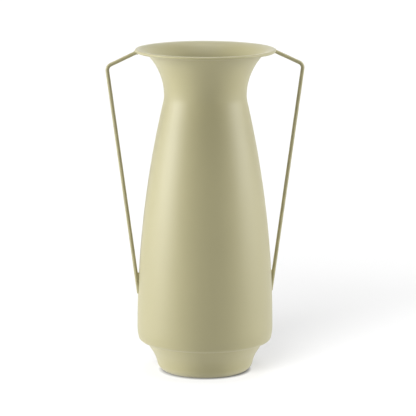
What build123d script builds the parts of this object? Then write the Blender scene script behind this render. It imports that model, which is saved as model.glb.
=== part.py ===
from build123d import *
import os
from math import asin, atan2, cos, degrees, radians, sin, sqrt, tan

# Urn vase of spun sheet with two handles of bent round bar, all lengths in millimetres.
# The turning axis is Z, the vase stands on z = 0, and the handles lie in the XZ plane.

# Sheet and bars
sheet = 1.0
bar_diameter = 5.0
ring_diameter = 4.2

# Seam line of the turned pieces, in degrees from the right handle
seam_turn = 90.0

# Foot pan: rounded bottom edge, cove wall, then a cone up to the crease under the body
rest_inset = 41.2
foot_edge_radius = 14.6
foot_lean = 11.5
cove_radius = 47.0
cone_angle = 33.0
crease_inset = 11.7

# Body: turned-in floor, rounded lower corner, belly, a long arc and a round into the waist
belly_radius = 92.0
floor_angle = 13.0
corner_radius = 6.5
corner_lean = 14.0
belly_round_radius = 57.0
belly_to_waist = 316.6
waist_radius = 55.6
waist_round_radius = 40.0

# Neck: two arcs that flare from the waist to a lip, which lies just under the top of the rim ring
neck_height = 62.6
rim_flare = 36.8
flare_turn = 44.5
lip_below_top = 0.25

# Handles: the arm falls from under the rim ring to one bend, the shank leans in to the body
arm_below_ring = 1.4
arm_reach = 40.1
arm_drop = 18.8
bend_radius = 8.0
tip_above_belly = 46.9
tip_land = 1.7

# Welds
bead_radius = 0.8
bead_sides = 8
upper_weld_radius = 3.1
lower_weld_radius = 2.0
lower_weld_length = 8.0


def polar(centre, radius, angle):
    """Point of the RZ half plane at an angle in degrees, counted from +R towards +Z."""
    return (centre[0] + radius * cos(radians(angle)), centre[1] + radius * sin(radians(angle)))


def in_space(point):
    """Point of the RZ half plane as a point of the XZ plane."""
    return (point[0], 0, point[1])


def arc(centre, radius, start, end):
    """Arc about a centre, between two angles in degrees."""
    ends = [polar(centre, radius, angle) for angle in (start, (start + end) / 2, end)]
    return ThreePointArc(*[in_space(point) for point in ends])


def line(start, end):
    return Line(in_space(start), in_space(end))


def section(*edges):
    """Face inside a closed outline of the RZ half plane."""
    return make_face(Wire(edges))


def disc(centre, radius):
    """Round section of a bar."""
    return Plane.XZ * Pos(*centre) * Circle(radius)


def bead(corner, *joined):
    """Flat-sided section of a weld run in a corner, less the sections that it joins."""
    run = Plane.XZ * Pos(*corner) * RegularPolygon(bead_radius, bead_sides)
    for piece in joined:
        run -= piece
    return run


def turned(face):
    """Solid that a section sweeps round the turning axis, its seam turned away from the handles."""
    return Rot(0, 0, seam_turn) * revolve(face, axis=Axis.Z)


# Foot outline, from the floor upwards
rest_radius = belly_radius - rest_inset
crease_radius = belly_radius - crease_inset
edge_centre = (rest_radius, foot_edge_radius)
edge_end = polar(edge_centre, foot_edge_radius, -foot_lean)
cove_centre = polar(edge_end, cove_radius, -foot_lean)
cove_end = polar(cove_centre, cove_radius, 180 - cone_angle)
crease = (crease_radius, cove_end[1] + (crease_radius - cove_end[0]) / tan(radians(cone_angle)))

# Body outline, from the crease outwards and up
belly_round_inset = belly_round_radius * (1 - cos(radians(corner_lean)))
corner_inset = corner_radius * (cos(radians(corner_lean)) - sin(radians(floor_angle)))
corner_start_radius = belly_radius - belly_round_inset - corner_inset
floor_rise = (corner_start_radius - crease_radius) * tan(radians(floor_angle))
corner_start = (corner_start_radius, crease[1] + floor_rise)
corner_centre = polar(corner_start, corner_radius, 90 + floor_angle)
corner_end = polar(corner_centre, corner_radius, -corner_lean)
belly_round_centre = polar(corner_end, belly_round_radius, 180 - corner_lean)
belly = (belly_radius, belly_round_centre[1])
waist = (waist_radius, belly[1] + belly_to_waist)
body_drop = belly_radius - waist_radius
both_radii = (belly_to_waist**2 + body_drop**2) / (2 * body_drop)
waist_lean = degrees(asin(belly_to_waist / both_radii))
body_arc_radius = both_radii - waist_round_radius
body_arc_centre = (belly_radius - body_arc_radius, belly[1])
body_arc_end = polar(body_arc_centre, body_arc_radius, waist_lean)
waist_round_centre = (waist_radius + waist_round_radius, waist[1])

# Neck outline: both arc radii follow from the turn that the first arc makes
ring_radius = ring_diameter / 2
ring_centre = (waist_radius + rim_flare, waist[1] + neck_height - ring_radius)
flare_rise = neck_height - lip_below_top - sheet
turn_sin, turn_cos = sin(radians(flare_turn)), cos(radians(flare_turn))
turn_share = turn_cos * turn_sin - (1 - turn_cos) * (1 - turn_sin)
neck_arc_radius = (flare_rise * turn_cos - rim_flare * (1 - turn_sin)) / turn_share
lip_arc_radius = (rim_flare * turn_sin - flare_rise * (1 - turn_cos)) / turn_share
neck_arc_centre = (waist_radius + neck_arc_radius, waist[1])
lip_arc_centre = (ring_centre[0], waist[1] + flare_rise - lip_arc_radius)

# Corner under the lip, where its outer face meets the rim ring
lip_to_ring = ring_centre[1] - lip_arc_centre[1]
corner_rise = (lip_to_ring**2 + lip_arc_radius**2 - ring_radius**2) / (2 * lip_to_ring)
lip_corner = (ring_centre[0] - sqrt(lip_arc_radius**2 - corner_rise**2), lip_arc_centre[1] + corner_rise)

# Crease point on the inner face of the sheet, on the line that halves the fold
pan_normal = (-cos(radians(cone_angle)), sin(radians(cone_angle)))
floor_normal = (-sin(radians(floor_angle)), cos(radians(floor_angle)))
fold = sheet / (1 + pan_normal[0] * floor_normal[0] + pan_normal[1] * floor_normal[1])
inner_crease = (crease[0] + fold * (pan_normal[0] + floor_normal[0]),
                crease[1] + fold * (pan_normal[1] + floor_normal[1]))


def wall_radius(height):
    """Outer radius of the body between belly and waist."""
    return body_arc_centre[0] + sqrt(body_arc_radius**2 - (height - belly[1])**2)


def foot_section():
    inner_edge_radius = foot_edge_radius - sheet
    inner_cove_radius = cove_radius + sheet
    inner_cove_end = polar(cove_centre, inner_cove_radius, 180 - cone_angle)
    return section(
        line((0, 0), (rest_radius, 0)),
        arc(edge_centre, foot_edge_radius, -90, -foot_lean),
        arc(cove_centre, cove_radius, 180 - foot_lean, 180 - cone_angle),
        line(cove_end, crease),
        line(crease, inner_crease),
        line(inner_crease, inner_cove_end),
        arc(cove_centre, inner_cove_radius, 180 - cone_angle, 180 - foot_lean),
        arc(edge_centre, inner_edge_radius, -foot_lean, -90),
        line((rest_radius, sheet), (0, sheet)),
        line((0, sheet), (0, 0)),
    )


def body_section():
    inner_corner_radius = corner_radius - sheet
    inner_corner_start = polar(corner_centre, inner_corner_radius, floor_angle - 90)
    return section(
        line(crease, corner_start),
        arc(corner_centre, corner_radius, floor_angle - 90, -corner_lean),
        arc(belly_round_centre, belly_round_radius, -corner_lean, 0),
        arc(body_arc_centre, body_arc_radius, 0, waist_lean),
        arc(waist_round_centre, waist_round_radius, 180 + waist_lean, 180),
        line(waist, (waist_radius - sheet, waist[1])),
        arc(waist_round_centre, waist_round_radius + sheet, 180, 180 + waist_lean),
        arc(body_arc_centre, body_arc_radius - sheet, waist_lean, 0),
        arc(belly_round_centre, belly_round_radius - sheet, 0, -corner_lean),
        arc(corner_centre, inner_corner_radius, -corner_lean, floor_angle - 90),
        line(inner_corner_start, inner_crease),
        line(inner_crease, crease),
    )


def neck_section():
    """Neck and lip, which runs on to the middle of the rim ring."""
    turn = 180 - flare_turn
    lip_height = waist[1] + flare_rise
    return section(
        arc(neck_arc_centre, neck_arc_radius, 180, turn),
        arc(lip_arc_centre, lip_arc_radius, turn, 90),
        line((ring_centre[0], lip_height), (ring_centre[0], lip_height + sheet)),
        arc(lip_arc_centre, lip_arc_radius + sheet, 90, turn),
        arc(neck_arc_centre, neck_arc_radius + sheet, turn, 180),
        line((waist_radius - sheet, waist[1]), waist),
    )


def filled_body():
    """The body as if it were solid, to trim what is seated on its outside."""
    return turned(section(
        line((0, belly[1]), belly),
        arc(body_arc_centre, body_arc_radius, 0, waist_lean),
        line(body_arc_end, (0, body_arc_end[1])),
        line((0, body_arc_end[1]), (0, belly[1])),
    ))


# Handle centreline: under the rim ring, bend, and where the shank's axis passes the tip's height
arm_start = (ring_centre[0], ring_centre[1] - arm_below_ring)
bend_point = (arm_start[0] + arm_reach, arm_start[1] - arm_drop)
tip_height = belly[1] + tip_above_belly
tip_axis = (wall_radius(tip_height) + tip_land - bar_diameter / 2, tip_height)
shank_lean = atan2(bend_point[0] - tip_axis[0], bend_point[1] - tip_axis[1])
arm_slope = degrees(atan2(arm_drop, arm_reach))


def make_handle(ring):
    """Right handle: bar swept round its bend, cut level at the tip and seated on rim ring and body."""
    overrun = bar_diameter
    shank_end = (tip_axis[0] - overrun * sin(shank_lean), tip_axis[1] - overrun * cos(shank_lean))
    corners = [in_space(point) for point in (arm_start, bend_point, shank_end)]
    path = FilletPolyline(*corners, radius=bend_radius)
    bar = sweep(Plane(path @ 0, z_dir=path % 0) * Circle(bar_diameter / 2), path=path)
    above_tip = split(bar, bisect_by=Plane.XY.offset(tip_height), keep=Keep.TOP)
    return above_tip - filled_body() - ring


def make_upper_weld(handle, ring):
    """Weld round the handle's upper end, where it leaves the rim ring."""
    middle = polar(arm_start, ring_radius / 2, -arm_slope)
    return Pos(*in_space(middle)) * Sphere(upper_weld_radius) - handle - ring


def shank_toe():
    """Highest point where the shank's inner side touches the body."""
    side = (tip_axis[0] - bar_diameter / 2 / cos(shank_lean), tip_height)
    from_centre = (side[0] - body_arc_centre[0], side[1] - body_arc_centre[1])
    along = from_centre[0] * sin(shank_lean) + from_centre[1] * cos(shank_lean)
    inside = from_centre[0]**2 + from_centre[1]**2 - body_arc_radius**2
    run = sqrt(along**2 - inside) - along
    return (side[0] + run * sin(shank_lean), side[1] + run * cos(shank_lean))


def make_lower_weld(handle):
    """Weld that fills the sharp corner between shank and body."""
    toe = shank_toe()
    half_lean = shank_lean / 2
    top = (toe[0] + lower_weld_length * sin(half_lean), toe[1] + lower_weld_length * cos(half_lean))
    along = Pos(*in_space(toe)) * Rot(0, degrees(half_lean), 0)
    upright = (Align.CENTER, Align.CENTER, Align.MIN)
    run = along * Cylinder(lower_weld_radius, lower_weld_length, align=upright)
    crown = Pos(*in_space(top)) * Sphere(lower_weld_radius)
    root = Pos(*in_space(toe)) * Sphere(lower_weld_radius)
    return run + crown + root - handle - filled_body()


def build():
    """All pieces by name. The lip is cut to sit against the ring, and their weld is sunk into the ring."""
    foot = foot_section()
    body = body_section()
    ring = disc(ring_centre, ring_radius)
    whole_neck = neck_section()
    neck = whole_neck - ring
    rim_run = bead(lip_corner, whole_neck)
    sections = {
        "foot_pan": foot,
        "body_shell": body,
        "neck_flare": neck,
        "rim_ring": ring - rim_run,
        "foot_weld": bead(inner_crease, foot, body),
        "waist_weld": bead((waist_radius - sheet, waist[1]), body, neck),
        "rim_weld": rim_run,
    }
    pieces = {name: turned(face) for name, face in sections.items()}
    whole_ring = turned(ring)
    handle = make_handle(whole_ring)
    upper_weld = make_upper_weld(handle, whole_ring)
    lower_weld = make_lower_weld(handle)
    for name, right in (("handle", handle), ("upper_weld", upper_weld), ("lower_weld", lower_weld)):
        pieces[name + "_right"] = right
        pieces[name + "_left"] = mirror(right, about=Plane.YZ)
    return pieces


os.makedirs("parts", exist_ok=True)
for name, solid in build().items():
    export_step(solid, f"parts/{name}.step")
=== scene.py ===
from math import asin, atan2, ceil, cos, degrees, hypot, pi, radians, sin, sqrt, tan

import bmesh
import bpy
from mathutils import Matrix, Vector


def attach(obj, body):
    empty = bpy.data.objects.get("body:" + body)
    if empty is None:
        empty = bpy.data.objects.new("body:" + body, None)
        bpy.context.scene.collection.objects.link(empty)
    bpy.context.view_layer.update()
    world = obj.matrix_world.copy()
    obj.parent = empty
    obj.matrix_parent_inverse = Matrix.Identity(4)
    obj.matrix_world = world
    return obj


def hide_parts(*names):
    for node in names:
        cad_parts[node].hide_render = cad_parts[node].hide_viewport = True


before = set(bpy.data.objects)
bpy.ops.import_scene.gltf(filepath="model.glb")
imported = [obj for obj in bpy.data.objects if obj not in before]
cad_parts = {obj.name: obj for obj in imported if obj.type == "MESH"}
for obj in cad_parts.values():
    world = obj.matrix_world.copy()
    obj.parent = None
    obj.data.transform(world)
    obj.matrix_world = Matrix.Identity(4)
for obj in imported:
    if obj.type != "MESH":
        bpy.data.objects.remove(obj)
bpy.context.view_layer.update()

MM = 0.001

# Sizes of the vase in millimetres, the same as in the solids
SHEET = 1.0
BAR = 2.5
HOOP = 2.1
BELLY = 92.0
REST = BELLY - 41.2
FOOT_EDGE = 14.6
FOOT_LEAN = 11.5
COVE = 47.0
CONE_ANGLE = 33.0
CREASE = BELLY - 11.7
FLOOR_ANGLE = 13.0
CORNER = 6.5
CORNER_LEAN = 14.0
BELLY_ROUND = 57.0
BELLY_TO_WAIST = 316.6
WAIST = 55.6
WAIST_ROUND = 40.0
NECK_HEIGHT = 62.6
RIM_FLARE = 36.8
FLARE_TURN = 44.5
ARM_BELOW_HOOP = 1.4
ARM_REACH = 40.1
ARM_DROP = 18.8
BEND = 8.0
TIP_ABOVE_BELLY = 46.9
TIP_LAND = 1.7
BEAD = 0.8
LOWER_WELD = 2.0
LOWER_WELD_LENGTH = 8.0

# Welds as the torch leaves them, and how far the handle's tip is let into the wall
COLLAR_BEAD = 0.95
SEAM_RIPPLE = 1.5
COLLAR_RIPPLE = 1.1
RIPPLE_DEPTH = 0.12
SEAT_DEPTH = 0.05

# How finely outlines and paths are followed, in millimetres
FINE_STEP = 0.6
HOOP_STEP = 0.3
BELLY_STEP = 1.2
NECK_STEP = 1.5
LONG_STEP = 5.0
BAR_STEP = 1.2
SEAM_STEP = 0.5
COLLAR_STEP = 0.2
FILL_STEP = 0.25

# How many steps make a full turn of a sheet, a seam, a collar, a bar and a bead, and one bend of a bar
TURNS = 288
SEAM_POINTS = 360
COLLAR_POINTS = 48
BAR_SIDES = 40
BEAD_SIDES = 14
BEND_STEPS = 32

# Edges sharper than this stay crisp, and points closer than this are one: of an outline, in millimetres,
# and of a mesh, in metres
SHARP = radians(38)
SAME_POINT = 1e-4
TOUCHING = 1e-6


class Value:
    """A node's output: arithmetic on it adds Math nodes to its tree."""

    def __init__(self, output):
        self.output = output

    @staticmethod
    def node(tree, kind, settings=(), sockets=()):
        """Adds any node, its settings first, then the values or links of its sockets."""
        made = tree.nodes.new(kind)
        for name, setting in dict(settings).items():
            setattr(made, name, setting)
        for key, value in dict(sockets).items():
            if isinstance(value, Value):
                tree.links.new(value.output, made.inputs[key])
            else:
                made.inputs[key].default_value = value
        return [Value(output) for output in made.outputs if output.enabled]

    def calc(self, operation, *others):
        terms = dict(enumerate((self, *others)))
        return Value.node(self.output.id_data, "ShaderNodeMath", {"operation": operation}, terms)[0]

    def reflected(self, operation, first):
        terms = {0: first, 1: self}
        return Value.node(self.output.id_data, "ShaderNodeMath", {"operation": operation}, terms)[0]

    def __add__(self, other):
        return self.calc("ADD", other)

    def __radd__(self, other):
        return self.reflected("ADD", other)

    def __sub__(self, other):
        return self.calc("SUBTRACT", other)

    def __rsub__(self, other):
        return self.reflected("SUBTRACT", other)

    def __mul__(self, other):
        return self.calc("MULTIPLY", other)

    def __rmul__(self, other):
        return self.reflected("MULTIPLY", other)

    def __truediv__(self, other):
        return self.calc("DIVIDE", other)

    def __rtruediv__(self, other):
        return self.reflected("DIVIDE", other)


def mottle(tree, place, scale, detail):
    """Soft random mottle between about 0 and 1, over a piece's own coordinates."""
    return Value.node(tree, "ShaderNodeTexNoise", {}, {"Vector": place, "Scale": scale, "Detail": detail})[0]


# Outlines in the half plane of radius and height

def polar(centre, radius, angle):
    return (centre[0] + radius * cos(radians(angle)), centre[1] + radius * sin(radians(angle)))


def arc(centre, radius, start, end, step=FINE_STEP):
    """Points along an arc between two angles in degrees."""
    count = max(2, ceil(abs(radians(end - start)) * radius / step))
    return [polar(centre, radius, start + (end - start) * i / count) for i in range(count + 1)]


def chain(*runs):
    """One outline from several runs of points, without doubles."""
    points = []
    for run in runs:
        for point in run:
            if not points or hypot(point[0] - points[-1][0], point[1] - points[-1][1]) > SAME_POINT:
                points.append(point)
    return points


edge_centre = (REST, FOOT_EDGE)
edge_end = polar(edge_centre, FOOT_EDGE, -FOOT_LEAN)
cove_centre = polar(edge_end, COVE, -FOOT_LEAN)
cove_end = polar(cove_centre, COVE, 180 - CONE_ANGLE)
crease = (CREASE, cove_end[1] + (CREASE - cove_end[0]) / tan(radians(CONE_ANGLE)))

belly_round_inset = BELLY_ROUND * (1 - cos(radians(CORNER_LEAN)))
corner_inset = CORNER * (cos(radians(CORNER_LEAN)) - sin(radians(FLOOR_ANGLE)))
corner_radius_at_floor = BELLY - belly_round_inset - corner_inset
floor_rise = (corner_radius_at_floor - CREASE) * tan(radians(FLOOR_ANGLE))
corner_centre = polar((corner_radius_at_floor, crease[1] + floor_rise), CORNER, 90 + FLOOR_ANGLE)
corner_end = polar(corner_centre, CORNER, -CORNER_LEAN)
belly_round_centre = polar(corner_end, BELLY_ROUND, 180 - CORNER_LEAN)
belly_height = belly_round_centre[1]
waist = (WAIST, belly_height + BELLY_TO_WAIST)
both_arcs = (BELLY_TO_WAIST**2 + (BELLY - WAIST) ** 2) / (2 * (BELLY - WAIST))
waist_lean = degrees(asin(BELLY_TO_WAIST / both_arcs))
body_arc = both_arcs - WAIST_ROUND
body_arc_centre = (BELLY - body_arc, belly_height)
waist_round_centre = (WAIST + WAIST_ROUND, waist[1])

# The coat fills the groove between lip and rim hoop, so the lip's face runs level into the hoop's top
hoop_centre = (WAIST + RIM_FLARE, waist[1] + NECK_HEIGHT - HOOP)
flare_rise = NECK_HEIGHT - SHEET
turn_sin, turn_cos = sin(radians(FLARE_TURN)), cos(radians(FLARE_TURN))
turn_share = turn_cos * turn_sin - (1 - turn_cos) * (1 - turn_sin)
neck_arc = (flare_rise * turn_cos - RIM_FLARE * (1 - turn_sin)) / turn_share
lip_arc = (RIM_FLARE * turn_sin - flare_rise * (1 - turn_cos)) / turn_share
neck_arc_centre = (WAIST + neck_arc, waist[1])
lip_arc_centre = (hoop_centre[0], waist[1] + flare_rise - lip_arc)
lip_to_hoop = hoop_centre[1] - lip_arc_centre[1]
lip_corner_rise = (lip_to_hoop**2 + lip_arc**2 - HOOP**2) / (2 * lip_to_hoop)
lip_corner = (hoop_centre[0] - sqrt(lip_arc**2 - lip_corner_rise**2), lip_arc_centre[1] + lip_corner_rise)

pan_normal = (-cos(radians(CONE_ANGLE)), sin(radians(CONE_ANGLE)))
floor_normal = (-sin(radians(FLOOR_ANGLE)), cos(radians(FLOOR_ANGLE)))
fold = SHEET / (1 + pan_normal[0] * floor_normal[0] + pan_normal[1] * floor_normal[1])
inner_crease = (crease[0] + fold * (pan_normal[0] + floor_normal[0]),
                crease[1] + fold * (pan_normal[1] + floor_normal[1]))


def foot_outline():
    """From the middle of the underside, out and up to the crease, and back inside."""
    turn = 180 - CONE_ANGLE
    return chain(
        [(0, 0)],
        arc(edge_centre, FOOT_EDGE, -90, -FOOT_LEAN),
        arc(cove_centre, COVE, 180 - FOOT_LEAN, turn),
        [crease, inner_crease],
        arc(cove_centre, COVE + SHEET, turn, 180 - FOOT_LEAN),
        arc(edge_centre, FOOT_EDGE - SHEET, -FOOT_LEAN, -90),
        [(0, SHEET)],
    )


def body_outline():
    """Outside from the crease up to the waist, then down the inside, closed."""
    rounds = (FLOOR_ANGLE - 90, -CORNER_LEAN)
    leans = (180 + waist_lean, 180)
    return chain(
        [crease],
        arc(corner_centre, CORNER, *rounds),
        arc(belly_round_centre, BELLY_ROUND, -CORNER_LEAN, 0, BELLY_STEP),
        arc(body_arc_centre, body_arc, 0, waist_lean, LONG_STEP),
        arc(waist_round_centre, WAIST_ROUND, *leans),
        arc(waist_round_centre, WAIST_ROUND + SHEET, *reversed(leans)),
        arc(body_arc_centre, body_arc - SHEET, waist_lean, 0, LONG_STEP),
        arc(belly_round_centre, BELLY_ROUND - SHEET, 0, -CORNER_LEAN, BELLY_STEP),
        arc(corner_centre, CORNER - SHEET, *reversed(rounds)),
        [inner_crease, crease],
    )


def neck_outline():
    """Outside from the waist out to the rim hoop, then back down the inside, closed."""
    turn = 180 - FLARE_TURN
    return chain(
        arc(neck_arc_centre, neck_arc, 180, turn, NECK_STEP),
        arc(lip_arc_centre, lip_arc, turn, 90),
        arc(lip_arc_centre, lip_arc + SHEET, 90, turn),
        arc(neck_arc_centre, neck_arc + SHEET, turn, 180, NECK_STEP),
        [waist],
    )


def hoop_outline():
    """Full circle of the rim hoop's bar."""
    return chain(arc(hoop_centre, HOOP, 0, 360, HOOP_STEP))


# Handle centreline: out from under the rim hoop, round the bend, down to the tip on the body
arm_start = (hoop_centre[0], hoop_centre[1] - ARM_BELOW_HOOP)
bend_point = (arm_start[0] + ARM_REACH, arm_start[1] - ARM_DROP)
tip_height = belly_height + TIP_ABOVE_BELLY
wall_at_tip = body_arc_centre[0] + sqrt(body_arc**2 - TIP_ABOVE_BELLY**2)
tip_axis = (wall_at_tip + TIP_LAND - BAR, tip_height)
shank_lean = atan2(bend_point[0] - tip_axis[0], bend_point[1] - tip_axis[1])
arm_slope = atan2(ARM_DROP, ARM_REACH)


def shank_toe():
    """Highest point where the shank's inner side touches the body."""
    side = (tip_axis[0] - BAR / cos(shank_lean) - body_arc_centre[0], tip_height - body_arc_centre[1])
    along = side[0] * sin(shank_lean) + side[1] * cos(shank_lean)
    run = sqrt(along**2 - side[0] ** 2 - side[1] ** 2 + body_arc**2) - along
    return (side[0] + body_arc_centre[0] + run * sin(shank_lean), tip_height + run * cos(shank_lean))


# Trees that shape the pieces

def new_tree(name, **inputs):
    """Geometry tree with named inputs, and those inputs as values."""
    tree = bpy.data.node_groups.new(name, "GeometryNodeTree")
    tree.interface.new_socket("Piece", in_out="OUTPUT", socket_type="NodeSocketGeometry")
    for label, kind in inputs.items():
        tree.interface.new_socket(label, in_out="INPUT", socket_type="NodeSocket" + kind)
    entry = Value.node(tree, "NodeGroupInput")
    return tree, dict(zip(inputs, entry))


def end_tree(tree, piece, coat):
    """Makes the piece real, coats it and puts it out."""
    real = Value.node(tree, "GeometryNodeRealizeInstances", {}, {"Geometry": piece})[0]
    coated = Value.node(tree, "GeometryNodeSetMaterial", {}, {"Geometry": real, "Material": coat})[0]
    Value.node(tree, "NodeGroupOutput", {}, {0: coated})
    return tree


def turned_tree():
    """Turns an outline of the XZ plane about Z."""
    tree, given = new_tree("turned_sheet", Outline="Geometry", Turns="Int", Coat="Material")
    outline = given["Outline"]
    count = Value.node(tree, "GeometryNodeAttributeDomainSize", {"component": "MESH"}, {0: outline})[0]
    grid = Value.node(tree, "GeometryNodeMeshGrid", {}, {
        "Size X": 1.0, "Size Y": 1.0, "Vertices X": count, "Vertices Y": given["Turns"] + 1})[0]
    place = Value.node(tree, "GeometryNodeInputPosition")[0]
    along, around, _ = Value.node(tree, "ShaderNodeSeparateXYZ", {}, {0: place})
    index = ((along + 0.5) * (count - 1)).calc("ROUND")
    point = Value.node(tree, "GeometryNodeSampleIndex", {"data_type": "FLOAT_VECTOR"}, {
        "Geometry": outline, "Value": place, "Index": index})[0]
    radius, _, height = Value.node(tree, "ShaderNodeSeparateXYZ", {}, {0: point})
    angle = (around + 0.5) * (2 * pi)
    turned = Value.node(tree, "ShaderNodeCombineXYZ", {}, {
        "X": radius * angle.calc("COSINE"), "Y": radius * angle.calc("SINE"), "Z": height})[0]
    skin = Value.node(tree, "GeometryNodeSetPosition", {}, {"Geometry": grid, "Position": turned})[0]
    closed = Value.node(tree, "GeometryNodeMergeByDistance", {}, {"Geometry": skin, "Distance": TOUCHING})[0]
    return end_tree(tree, closed, given["Coat"])


def bent_bar_tree():
    """Round bar along a path with one bend, cut level at its tip and seated on the body's wall."""
    tree, given = new_tree(
        "bent_bar", Path="Geometry", BarRadius="Float", BendRadius="Float", Step="Float", TipHeight="Float",
        WallArc="Float", WallReach="Float", WallHeight="Float", Coat="Material")
    line = Value.node(tree, "GeometryNodeMeshToCurve", {}, {"Mesh": given["Path"]})[0]
    bent = Value.node(tree, "GeometryNodeFilletCurve", {"mode": "POLY"}, {
        "Curve": line, "Count": BEND_STEPS, "Radius": given["BendRadius"]})[0]
    even = Value.node(tree, "GeometryNodeResampleCurve", {"mode": "LENGTH"}, {
        "Curve": bent, "Length": given["Step"]})[0]
    ring = Value.node(tree, "GeometryNodeCurvePrimitiveCircle", {"mode": "RADIUS"}, {
        "Resolution": BAR_SIDES, "Radius": given["BarRadius"]})[0]
    bar = Value.node(tree, "GeometryNodeCurveToMesh", {}, {
        "Curve": even, "Profile Curve": ring, "Fill Caps": True})[0]
    place = Value.node(tree, "GeometryNodeInputPosition")[0]
    x, y, z = Value.node(tree, "ShaderNodeSeparateXYZ", {}, {0: place})
    level = z.calc("MAXIMUM", given["TipHeight"])
    rise = level - given["WallHeight"]
    wall = given["WallReach"] + (given["WallArc"] * given["WallArc"] - rise * rise).calc("SQRT")
    away = (x * x + y * y).calc("SQRT")
    seat = away.calc("MAXIMUM", wall) / away
    seated = Value.node(tree, "ShaderNodeCombineXYZ", {}, {"X": x * seat, "Y": y * seat, "Z": level})[0]
    bar = Value.node(tree, "GeometryNodeSetPosition", {}, {"Geometry": bar, "Position": seated})[0]
    return end_tree(tree, bar, given["Coat"])


# Scale of a weld's uneven swelling, and the least length in metres that an end has
UNEVEN_SCALE = 420.0
END_GAP = 1e-5


def weld_tree():
    """Rippled weld run along a path, with round ends where the path is open."""
    tree, given = new_tree(
        "weld_run", Path="Geometry", BeadRadius="Float", RipplePitch="Float", RippleDepth="Float",
        EndTaper="Float", Step="Float", Coat="Material")
    line = Value.node(tree, "GeometryNodeMeshToCurve", {}, {"Mesh": given["Path"]})[0]
    even = Value.node(tree, "GeometryNodeResampleCurve", {"mode": "LENGTH"}, {
        "Curve": line, "Length": given["Step"]})[0]
    length = Value.node(tree, "GeometryNodeSplineLength")[0]
    run = Value.node(tree, "GeometryNodeSplineParameter")[1]
    place = Value.node(tree, "GeometryNodeInputPosition")[0]
    uneven = mottle(tree, place, UNEVEN_SCALE, 2.0)
    nearest_end = run.calc("MINIMUM", length - run) + END_GAP
    rising = (nearest_end / (given["EndTaper"] + END_GAP)).calc("MINIMUM", 1.0)
    rounded = (rising * (2.0 - rising)).calc("SQRT")
    ripple = (run * pi / given["RipplePitch"]).calc("SINE").calc("ABSOLUTE")
    swell = rounded * (1.0 + given["RippleDepth"] * (ripple + uneven - 1.5))
    ring = Value.node(tree, "GeometryNodeCurvePrimitiveCircle", {"mode": "RADIUS"}, {
        "Resolution": BEAD_SIDES, "Radius": given["BeadRadius"]})[0]
    bead = Value.node(tree, "GeometryNodeCurveToMesh", {}, {
        "Curve": even, "Profile Curve": ring, "Scale": swell, "Fill Caps": True})[0]
    return end_tree(tree, bead, given["Coat"])


def shape_piece(name, tree, path, sizes, node, ring=False):
    """Runs a tree on a line or ring of points and sets the result, as a plain mesh, in for a CAD node."""
    line = bpy.data.meshes.new(name + "_path")
    edges = [(i, i + 1) for i in range(len(path) - 1)]
    if ring:
        edges.append((len(path) - 1, 0))
    line.from_pydata([tuple(MM * c for c in point) for point in path], edges, [])
    piece = bpy.data.objects.new(name, line)
    bpy.context.scene.collection.objects.link(piece)
    shaping = piece.modifiers.new("shaping", "NODES")
    shaping.node_group = tree
    for socket in tree.interface.items_tree:
        if socket.in_out == "INPUT" and socket.name in sizes:
            shaping[socket.identifier] = sizes[socket.name]
    evaluated = piece.evaluated_get(bpy.context.evaluated_depsgraph_get())
    skin = bpy.data.meshes.new_from_object(evaluated)
    piece.modifiers.remove(shaping)
    piece.data = skin
    bpy.data.meshes.remove(line)
    skin.name = name
    shell = bmesh.new()
    shell.from_mesh(skin)
    bmesh.ops.remove_doubles(shell, verts=shell.verts, dist=TOUCHING)
    bmesh.ops.recalc_face_normals(shell, faces=shell.faces)
    shell.to_mesh(skin)
    shell.free()
    skin.shade_smooth()
    skin.set_sharp_from_angle(angle=SHARP)
    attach(piece, "root")
    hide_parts(node)
    return piece


# Finishes

# The coat: its colour, how far that strays, the scales of its patterns, and their shares in tone, gloss
# and relief
COAT_TONE = (0.482, 0.444, 0.238)
PALE, DEEP = 1.045, 0.955
GRAIN_SCALE, PEEL_SCALE, CLOUD_SCALE = 2400.0, 520.0, 14.0
CLOUD_TONE, GRAIN_TONE = 0.7, 0.5
CLOUD_GLOSS, GRAIN_GLOSS = 0.10, 0.08
BUMP_STRENGTH = 0.35


def tone(factor):
    """The coat's colour, paler or deeper."""
    return (*(factor * channel for channel in COAT_TONE), 1.0)


def powder_coat(name, grain_depth, peel_depth, roughness):
    """Satin powder coat: fine grain, a soft orange peel and faint clouds in tone and gloss."""
    coat = bpy.data.materials.new(name)
    coat.use_nodes = True
    tree = coat.node_tree
    tree.nodes.clear()
    place = Value.node(tree, "ShaderNodeTexCoord")[3]
    grain = mottle(tree, place, GRAIN_SCALE, 2.0)
    peel = mottle(tree, place, PEEL_SCALE, 1.0)
    cloud = mottle(tree, place, CLOUD_SCALE, 3.0)
    shift = 0.5 + CLOUD_TONE * (cloud - 0.5) + GRAIN_TONE * (grain - 0.5)
    share = shift.calc("MAXIMUM", 0.0).calc("MINIMUM", 1.0)
    colour = Value.node(tree, "ShaderNodeMix", {"data_type": "RGBA"}, {
        0: share, 6: tone(DEEP), 7: tone(PALE)})[0]
    gloss = roughness + CLOUD_GLOSS * (cloud - 0.5) + GRAIN_GLOSS * (grain - 0.5)
    height = grain * grain_depth + peel * peel_depth
    bump = Value.node(tree, "ShaderNodeBump", {}, {
        "Strength": BUMP_STRENGTH, "Distance": MM, "Height": height})[0]
    skin = Value.node(tree, "ShaderNodeBsdfPrincipled", {}, {
        "Base Color": colour, "Roughness": gloss, "Normal": bump, "IOR": 1.5,
        "Specular IOR Level": 0.5, "Sheen Weight": 0.3, "Sheen Roughness": 0.6})[0]
    Value.node(tree, "ShaderNodeOutputMaterial", {}, {"Surface": skin})
    return coat


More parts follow.
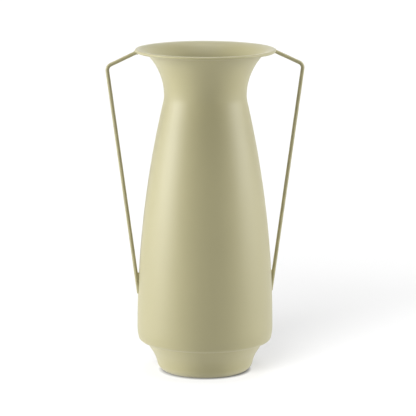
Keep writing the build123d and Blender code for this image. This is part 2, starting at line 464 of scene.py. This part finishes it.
SHEET_COAT = powder_coat("coat_on_sheet", grain_depth=0.03, peel_depth=0.05, roughness=0.46)
BAR_COAT = powder_coat("coat_on_bar", grain_depth=0.03, peel_depth=0.06, roughness=0.46)
WELD_COAT = powder_coat("coat_on_welds", grain_depth=0.05, peel_depth=0.12, roughness=0.50)


# Pieces

def in_plane(outline):
    """Outline as points of the XZ plane."""
    return [(radius, 0.0, height) for radius, height in outline]


def full_turn(count):
    """Angles of so many even steps round."""
    return [2 * pi * i / count for i in range(count)]


def seam_path(corner):
    """Ring round the vase through a corner of its outline."""
    return [(corner[0] * cos(a), corner[0] * sin(a), corner[1]) for a in full_turn(SEAM_POINTS)]


def collar_path(side):
    """Saddle line round the bar where it leaves the rim hoop."""
    out = Vector((side * cos(arm_slope), 0.0, -sin(arm_slope)))
    up = Vector((side * sin(arm_slope), 0.0, cos(arm_slope)))
    middle = Vector((side * arm_start[0], 0.0, arm_start[1]))
    path = []
    for a in full_turn(COLLAR_POINTS):
        above_hoop = BAR * cos(a) - ARM_BELOW_HOOP * cos(arm_slope)
        hoop_half = sqrt(max(HOOP**2 - above_hoop**2, (HOOP / 2) ** 2))
        leave = hoop_half - ARM_BELOW_HOOP * sin(arm_slope)
        path.append(tuple(middle + out * leave + up * BAR * cos(a) + Vector((0.0, BAR * sin(a), 0.0))))
    return path


def build_pieces():
    """Sheets and hoop first, then the seams, then both handles with their welds."""
    turned = turned_tree()
    sheet = {"Turns": TURNS, "Coat": SHEET_COAT}
    shape_piece("foot_spun", turned, in_plane(foot_outline()), sheet, "foot_pan")
    shape_piece("body_spun", turned, in_plane(body_outline()), sheet, "body_shell")
    shape_piece("neck_spun", turned, in_plane(neck_outline()), sheet, "neck_flare")
    hoop = {"Turns": TURNS, "Coat": BAR_COAT}
    shape_piece("rim_hoop", turned, in_plane(hoop_outline()), hoop, "rim_ring")

    weld = weld_tree()
    seam = {
        "BeadRadius": BEAD * MM, "RipplePitch": SEAM_RIPPLE * MM, "RippleDepth": RIPPLE_DEPTH,
        "EndTaper": 0.0, "Step": SEAM_STEP * MM, "Coat": WELD_COAT}
    waist_root = (WAIST - SHEET, waist[1])
    seams = (("rim_seam", lip_corner, "rim_weld"), ("waist_seam", waist_root, "waist_weld"),
             ("foot_seam", inner_crease, "foot_weld"))
    for name, corner, node in seams:
        shape_piece(name, weld, seam_path(corner), seam, node, ring=True)

    bar = bent_bar_tree()
    bar_sizes = {
        "BarRadius": BAR * MM, "BendRadius": BEND * MM, "Step": BAR_STEP * MM, "TipHeight": tip_height * MM,
        "WallArc": (body_arc - SEAT_DEPTH) * MM, "WallReach": body_arc_centre[0] * MM,
        "WallHeight": belly_height * MM, "Coat": BAR_COAT}
    collar = {
        **seam, "BeadRadius": COLLAR_BEAD * MM, "RipplePitch": COLLAR_RIPPLE * MM, "Step": COLLAR_STEP * MM}
    fill = {**seam, "BeadRadius": LOWER_WELD * MM, "EndTaper": LOWER_WELD * MM, "Step": FILL_STEP * MM}
    tip_overrun = BAR * tan(shank_lean)
    shank_end = (tip_axis[0] - tip_overrun * sin(shank_lean), tip_axis[1] - tip_overrun * cos(shank_lean))
    toe = shank_toe()
    half_lean = shank_lean / 2
    fill_ends = [(toe[0] + run * sin(half_lean), toe[1] + run * cos(half_lean))
                 for run in (-LOWER_WELD, LOWER_WELD_LENGTH + LOWER_WELD)]
    for side, word in ((-1, "left"), (1, "right")):
        bar_path = [(side * r, 0.0, z) for r, z in (arm_start, bend_point, shank_end)]
        fill_path = [(side * r, 0.0, z) for r, z in fill_ends]
        shape_piece("bar_handle_" + word, bar, bar_path, bar_sizes, "handle_" + word)
        shape_piece("collar_weld_" + word, weld, collar_path(side), collar,
                    "upper_weld_" + word, ring=True)
        shape_piece("toe_weld_" + word, weld, fill_path, fill, "lower_weld_" + word)


build_pieces()


# Studio

# Where the photograph was taken from: angles in radians, distances in metres, and the lens in its pixels
CAMERA_TURN = radians(-6.67)
CAMERA_TILT = 0.17891
CAMERA_ROLL = 0.002
CAMERA_DISTANCE = 3.57672
AIM = Vector((0.003842, 0.0, 0.22353))
FOCAL_PIXELS = 2643.7
PICTURE = 416
SENSOR = 36.0


def add_camera():
    """Camera at the photograph's angle."""
    lens = bpy.data.cameras.new("photo_camera")
    lens.sensor_width = SENSOR
    lens.lens = SENSOR * FOCAL_PIXELS / PICTURE
    lens.clip_end = 100.0
    camera = bpy.data.objects.new("photo_camera", lens)
    bpy.context.scene.collection.objects.link(camera)
    turn = Matrix.Rotation(CAMERA_TURN, 4, "Z")
    away = Vector((0.0, -cos(CAMERA_TILT), sin(CAMERA_TILT)))
    stand = turn @ (AIM + CAMERA_DISTANCE * away)
    look = (turn @ away).to_track_quat("Z", "Y").to_matrix().to_4x4()
    camera.matrix_world = Matrix.Translation(stand) @ look @ Matrix.Rotation(CAMERA_ROLL, 4, "Z")
    bpy.context.scene.camera = camera


def unlit_share(tree):
    """One for the rays that show the backdrop itself: camera, mirror and glass rays."""
    rays = tree.nodes.new("ShaderNodeLightPath").outputs
    seen = [Value(rays[name]) for name in ("Is Camera Ray", "Is Glossy Ray", "Is Transmission Ray")]
    return seen[0].calc("MAXIMUM", seen[1]).calc("MAXIMUM", seen[2])


# The floor: half its width in metres, its own grey, the white it shows, the painted glow that stands in for
# the light it would send back from the side lamps, which don't fall on it, and how far from the foot the
# painted contact shade under it reaches
FLOOR_HALF = 30.0
FLOOR_GREY = 0.35
FLOOR_GLOW = 0.61
PAINTED_FLOOR_BOUNCE = 0.26
CONTACT_SHADE_REACH = 0.005


def add_floor():
    """Wide paper that looks white, keeps the vase's shadow, has a painted contact shade where the foot meets
    it and a painted glow that lights the vase in place of bounce light.
    """
    sheet = bpy.data.meshes.new("studio_floor")
    corners = [(x * FLOOR_HALF, y * FLOOR_HALF, 0) for x, y in ((-1, -1), (1, -1), (1, 1), (-1, 1))]
    sheet.from_pydata(corners, [], [(0, 1, 2, 3)])
    floor = bpy.data.objects.new("studio_floor", sheet)
    bpy.context.scene.collection.objects.link(floor)
    paper = bpy.data.materials.new("white_paper")
    paper.use_nodes = True
    tree = paper.node_tree
    tree.nodes.clear()
    matt = Value.node(tree, "ShaderNodeBsdfDiffuse", {}, {"Color": (*[FLOOR_GREY] * 3, 1.0)})[0]
    # Painted contact shade: ambient occlusion darkens the floor's glow within a few millimetres of the foot
    painted_contact_shade = Value.node(tree, "ShaderNodeAmbientOcclusion", {"samples": 16}, {"Distance": CONTACT_SHADE_REACH})[1]
    # Painted bounce light: to all rays but camera, mirror and glass rays the floor glows a little and lights
    # the vase from below; to those rays it shows white
    shown = (PAINTED_FLOOR_BOUNCE + (FLOOR_GLOW - PAINTED_FLOOR_BOUNCE) * unlit_share(tree)) * painted_contact_shade
    glow = Value.node(tree, "ShaderNodeEmission", {}, {"Color": shown, "Strength": 1.0})[0]
    both = Value.node(tree, "ShaderNodeAddShader", {}, {0: matt, 1: glow})[0]
    Value.node(tree, "ShaderNodeOutputMaterial", {}, {"Surface": both})
    sheet.materials.append(paper)
    return floor


# The little light that the room itself gives
ROOM_LIGHT = 0.02


def add_world():
    """White to look at, nearly dark as a light."""
    world = bpy.data.worlds.new("white_room")
    world.use_nodes = True
    tree = world.node_tree
    tree.nodes.clear()
    shown = ROOM_LIGHT + (1.0 - ROOM_LIGHT) * unlit_share(tree)
    room = Value.node(tree, "ShaderNodeBackground", {}, {"Color": shown, "Strength": 1.0})[0]
    Value.node(tree, "ShaderNodeOutputWorld", {}, {"Surface": room})
    bpy.context.scene.world = world


def floor_group(floor, link):
    """Collection by which a lamp lights only the floor, or everything else."""
    group = bpy.data.collections.new("floor_" + link.lower())
    group.objects.link(floor)
    group.collection_objects[0].light_linking.link_state = link
    return group


def add_lamp(name, azimuth, elevation, width, strength, group=None):
    """Far soft lamp, so many degrees wide; azimuth counts from the camera's side, positive to the right."""
    light = bpy.data.lights.new(name, "SUN")
    light.angle = radians(width)
    light.energy = pi * strength
    lamp = bpy.data.objects.new(name, light)
    bpy.context.scene.collection.objects.link(lamp)
    turn = radians(azimuth) + CAMERA_TURN
    rise = radians(elevation)
    away = Vector((sin(turn) * cos(rise), -cos(turn) * cos(rise), sin(rise)))
    lamp.matrix_world = away.to_track_quat("Z", "Y").to_matrix().to_4x4()
    lamp.light_linking.receiver_collection = group


add_camera()
add_world()
floor = add_floor()
vase_only = floor_group(floor, "EXCLUDE")
floor_only = floor_group(floor, "INCLUDE")
add_lamp("left_lamp", azimuth=-82, elevation=4, width=40, strength=1.54, group=vase_only)
add_lamp("right_lamp", azimuth=89, elevation=10, width=40, strength=0.83, group=vase_only)
add_lamp("top_lamp", azimuth=0, elevation=90, width=36, strength=0.46)
add_lamp("floor_lamp", azimuth=-22, elevation=22, width=40, strength=2.10, group=floor_only)

bpy.context.scene.view_settings.view_transform = "Standard"
